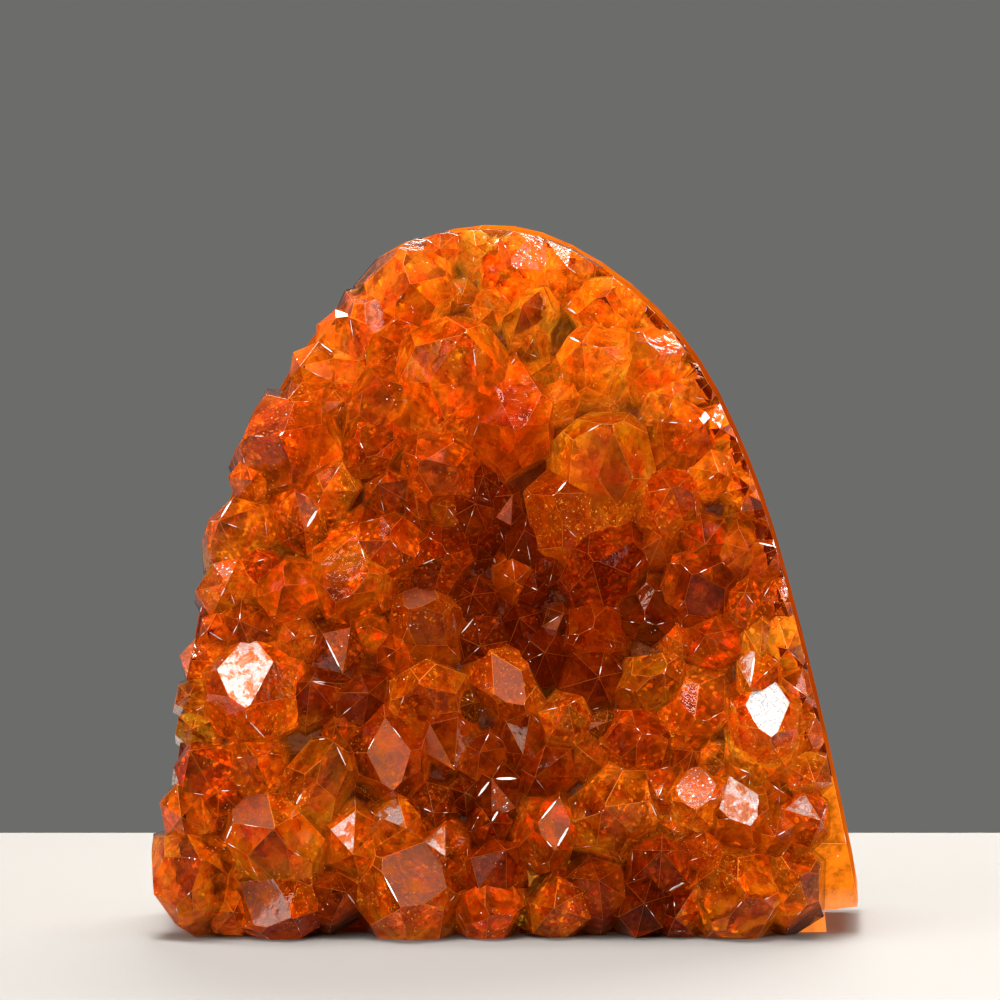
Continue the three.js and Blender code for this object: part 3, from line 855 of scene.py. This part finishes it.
def flakeMaterial(values):
    material, tree, shader = newMaterial("inclusions", {
        "Roughness": values["roughness"],
        "Emission Strength": values["paintedGlow"],
    })
    # painted glow of the inclusions, in their own colour
    speckle = addNoise(tree, objectPlace(tree), values["speckle"])
    colour = addRamp(tree, speckle, values["speckleStops"])
    setInputs(tree, shader, {"Base Color": colour, "Emission Color": colour})
    return material


def flakeShapes(values):
    shapes = []
    for sides in values["sides"]:
        shape = bmesh.new()
        bmesh.ops.create_cone(
            shape,
            cap_ends=True,
            segments=sides,
            radius1=1,
            radius2=values["taper"],
            depth=values["thickness"],
        )
        mesh = bpy.data.meshes.new("flake")
        shape.to_mesh(mesh)
        shape.free()
        shapes.append(mesh)
    return shapes


def randomStart(low, high, y):
    return Vector((random.uniform(low[0], high[0]), y, random.uniform(low[2], high[2])))


def makeFlakes(values, crystals, root):
    # small cracks and specks grown inside the clear crystals, ahead of the milky quartz, with a painted
    # glow
    random.seed(values["seed"])
    glass = surfaceTree(crystals.data)
    milk = surfaceTree(root.data)
    low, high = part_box("citrine_cluster")
    patterns = flakeShapes(values)
    shape = bmesh.new()
    for _ in range(values["tries"]):
        # every draw comes before the tests, so that one flake more or less moves no other
        start = randomStart(low, high, low[1] - values["startAhead"])
        radius = random.uniform(*[size**0.5 for size in values["sizes"]]) ** 2
        share = random.uniform(*values["depths"])
        turn = Euler([random.uniform(*values["turns"]) for _ in range(3)]).to_matrix().to_4x4()
        size = Matrix.Diagonal((radius, radius * random.uniform(*values["breadths"]), radius, 1))
        pattern = random.choice(patterns)
        if noise.noise(start * values["clumps"]) < values["clumpFrom"]:
            continue
        front = glass.ray_cast(start, backwards)[0]
        back = milk.ray_cast(start, backwards)[0]
        if front is None or back is None or back.y - front.y < values["leastDepth"]:
            continue
        place = front.lerp(back, share)
        if glass.find_nearest(place)[3] < radius + values["clearance"]:
            continue
        flake = pattern.copy()
        flake.transform(Matrix.Translation(place) @ turn @ size)
        shape.from_mesh(flake)
        bpy.data.meshes.remove(flake)
    for pattern in patterns:
        bpy.data.meshes.remove(pattern)
    flakes = addPiece("inclusions", shape, flakeMaterial(values))
    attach(flakes, "root")
    return flakes


glintValues = {
    "seed": 8,
    # painted glints along an edge: x and z in millimetres over the face, and the width
    "lines": [
        (-17.8, 36.4, 0.34), (-25.2, 37.3, 0.2), (-20.9, 44.6, 0.2), (3.6, 39.9, 0.2), (-25.7, 26.7, 0.14),
        (-15.6, 25.4, 0.16), (-15.6, 15.8, 0.16), (-2.3, 13.6, 0.3), (-0.4, 13.4, 0.26), (-1.2, 11.6, 0.22),
        (3.8, 11, 0.2), (14.2, 4.4, 0.34), (20.7, 24, 0.2), (-27.8, 19.8, 0.16), (4.2, 9.6, 0.26),
        (-9.3, 5.4, 0.14), (-17.6, 10.9, 0.2), (-23.9, 9.2, 0.2), (-13.3, 3.5, 0.16), (12.2, 10.8, 0.14),
        (5, 55, 0.26), (4.6, 53.5, 0.2), (14, 44.8, 0.14), (15.8, 42, 0.12), (-16.7, 52.6, 0.2),
        (22.2, 34.3, 0.18), (-4, 26.5, 0.24), (-1.6, 33.5, 0.2), (-22, 18, 0.12), (9, 29.2, 0.14)],
    "lineLength": 0.4,  # half of it, as a share of the edge
    "reach": 0.0035,
    # edges with at least this angle that face forward can carry a painted glint, and this share of them
    # does
    "sharpness": 0.3,
    "facing": -0.3,
    "lift": 0.00002,
    "edgeShare": 0.16,
    "places": (0.2, 0.8),  # along the edge
    "lengths": (0.15, 0.5),  # as a share of the edge
    "widths": (0.00004, 0.00009),
    # painted glint dots on each glittering face
    "dots": 26,
    "dotSizes": (0.00005, 0.00014),
    "dotBreadths": (0.4, 1),
    # painted glint specks all over, in clumps
    "specks": 1400,
    "speckSizes": (0.00003, 0.00009),
    "speckBreadths": (0.5, 1),
    "speckClumps": 320,
    "speckFrom": 0.2,
    # the white of the painted glints, dulled in patches
    "colour": (1, 0.9, 0.86),
    "dull": 0.6,
    "stops": (0.35, 0.5),
    "speckle": {"Scale": 1200},
    "roughness": 0.25,
}


def glintMaterial(values):
    material, tree, shader = newMaterial("glints", {"Roughness": values["roughness"]})
    uneven = addNoise(tree, objectPlace(tree), values["speckle"])
    low, high = values["stops"]
    dull = [level * values["dull"] for level in values["colour"]]
    setInputs(tree, shader, {"Base Color": addRamp(tree, uneven, [(low, dull), (high, values["colour"])])})
    return material


def seenEdges(shape, tree, values):
    # outward edges that face forward with nothing in front of them
    found = []
    for edge in shape.edges:
        if not edge.is_manifold or not edge.is_convex or edge.calc_face_angle() < values["sharpness"]:
            continue
        outward = (edge.link_faces[0].normal + edge.link_faces[1].normal).normalized()
        middle = (edge.verts[0].co + edge.verts[1].co) / 2
        if outward.y < values["facing"] and isOpen(tree, middle + outward * values["lift"], forwards):
            found.append((edge, middle, outward))
    return found


def addChip(shape, place, along, outward, size):
    # a small lens-shaped chip that lies on the surface
    across = outward.cross(along).normalized()
    outward = along.cross(across).normalized()
    turn = Matrix((along.normalized(), across, outward)).transposed().to_4x4()
    chip = Matrix.Translation(place) @ turn @ Matrix.Diagonal((*size, 1))
    bmesh.ops.create_icosphere(shape, subdivisions=1, radius=1, matrix=chip)


def addDot(shape, place, outward, sizes, breadths):
    size = random.uniform(*sizes)
    addChip(shape, place, outward.orthogonal(), outward, (size, size * random.uniform(*breadths), size / 3))


def addNamedGlints(shape, edges, values):
    for x, z, width in values["lines"]:
        spot = Vector((x / 1000, z / 1000))
        near = []
        for edge, middle, outward in edges:
            away = (Vector((middle.x, middle.z)) - spot).length
            if away < values["reach"]:
                near.append((away, edge, middle, outward))
        if near:
            _, edge, middle, outward = min(near, key=lambda found: found[0])
            along = edge.verts[1].co - edge.verts[0].co
            size = (along.length * values["lineLength"], width / 2000, width / 6000)  # from millimetres
            addChip(shape, middle, along, outward, size)


def addEdgeGlints(shape, edges, values):
    for edge, _, outward in edges:
        if random.random() < values["edgeShare"]:
            start, end = edge.verts[0].co, edge.verts[1].co
            place = start.lerp(end, random.uniform(*values["places"]))
            length = (end - start).length * random.uniform(*values["lengths"]) / 2
            width = random.uniform(*values["widths"]) / 2
            addChip(shape, place, end - start, outward, (length, width, width / 2))


def addDots(shape, body, tree, values):
    # painted glint dots on the glittering faces
    for face in body.faces:
        if face.material_index != finishNumbers["glitter"]:
            continue
        low = [min(vert.co[axis] for vert in face.verts) for axis in range(3)]
        high = [max(vert.co[axis] for vert in face.verts) for axis in range(3)]
        for _ in range(values["dots"]):
            place, outward, index, _ = tree.ray_cast(randomStart(low, high, -farOut), backwards)
            if index == face.index:
                addDot(shape, place, outward, values["dotSizes"], values["dotBreadths"])


def addSpecks(shape, tree, values):
    low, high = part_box("citrine_cluster")
    for _ in range(values["specks"]):
        start = randomStart(low, high, -farOut)
        if noise.noise(start * values["speckClumps"]) < values["speckFrom"]:
            continue
        place, outward = tree.ray_cast(start, backwards)[:2]
        if place is not None:
            addDot(shape, place, outward, values["speckSizes"], values["speckBreadths"])


def makeGlints(values, crystals):
    # painted glints: white chips along edges and specks, standing in for highlights
    random.seed(values["seed"])
    body = bmesh.new()
    body.from_mesh(crystals.data)
    tree = BVHTree.FromBMesh(body)
    edges = seenEdges(body, tree, values)
    shape = bmesh.new()
    addNamedGlints(shape, edges, values)
    addEdgeGlints(shape, edges, values)
    addDots(shape, body, tree, values)
    addSpecks(shape, tree, values)
    body.free()
    glints = addPiece("glints", shape, glintMaterial(values))
    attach(glints, "root")
    return glints


floorValues = {
    "front": -1.2,
    "back": 0.11,
    "width": 2.4,
    "colour": (0.2, 0.19, 0.18),
    "roughness": 0.7,
}


def makeFloor(values):
    depth, middle = values["back"] - values["front"], (values["back"] + values["front"]) / 2
    shape = bmesh.new()
    bmesh.ops.create_grid(shape, x_segments=1, y_segments=1, size=0.5)
    bmesh.ops.scale(shape, verts=shape.verts, vec=(values["width"], depth, 1))
    bmesh.ops.translate(shape, verts=shape.verts, vec=(0, middle, 0))
    inputs = {"Base Color": (*values["colour"], 1), "Roughness": values["roughness"]}
    floor = addPiece("paleFloor", shape, newMaterial("paleFloor", inputs)[0])


makeCamera(viewValues)
makeLights(lightValues)
makeFloor(floorValues)
crystals = makeCrystals(crystalValues)
print("crystals made")
root = makeRoot(rootValues, crystals)
print("root made", len(root.data.polygons))
flakes = makeFlakes(flakeValues, crystals, root)
print("inclusions made", len(flakes.data.polygons))
glints = makeGlints(glintValues, crystals)
print("glints made", len(glints.data.polygons))
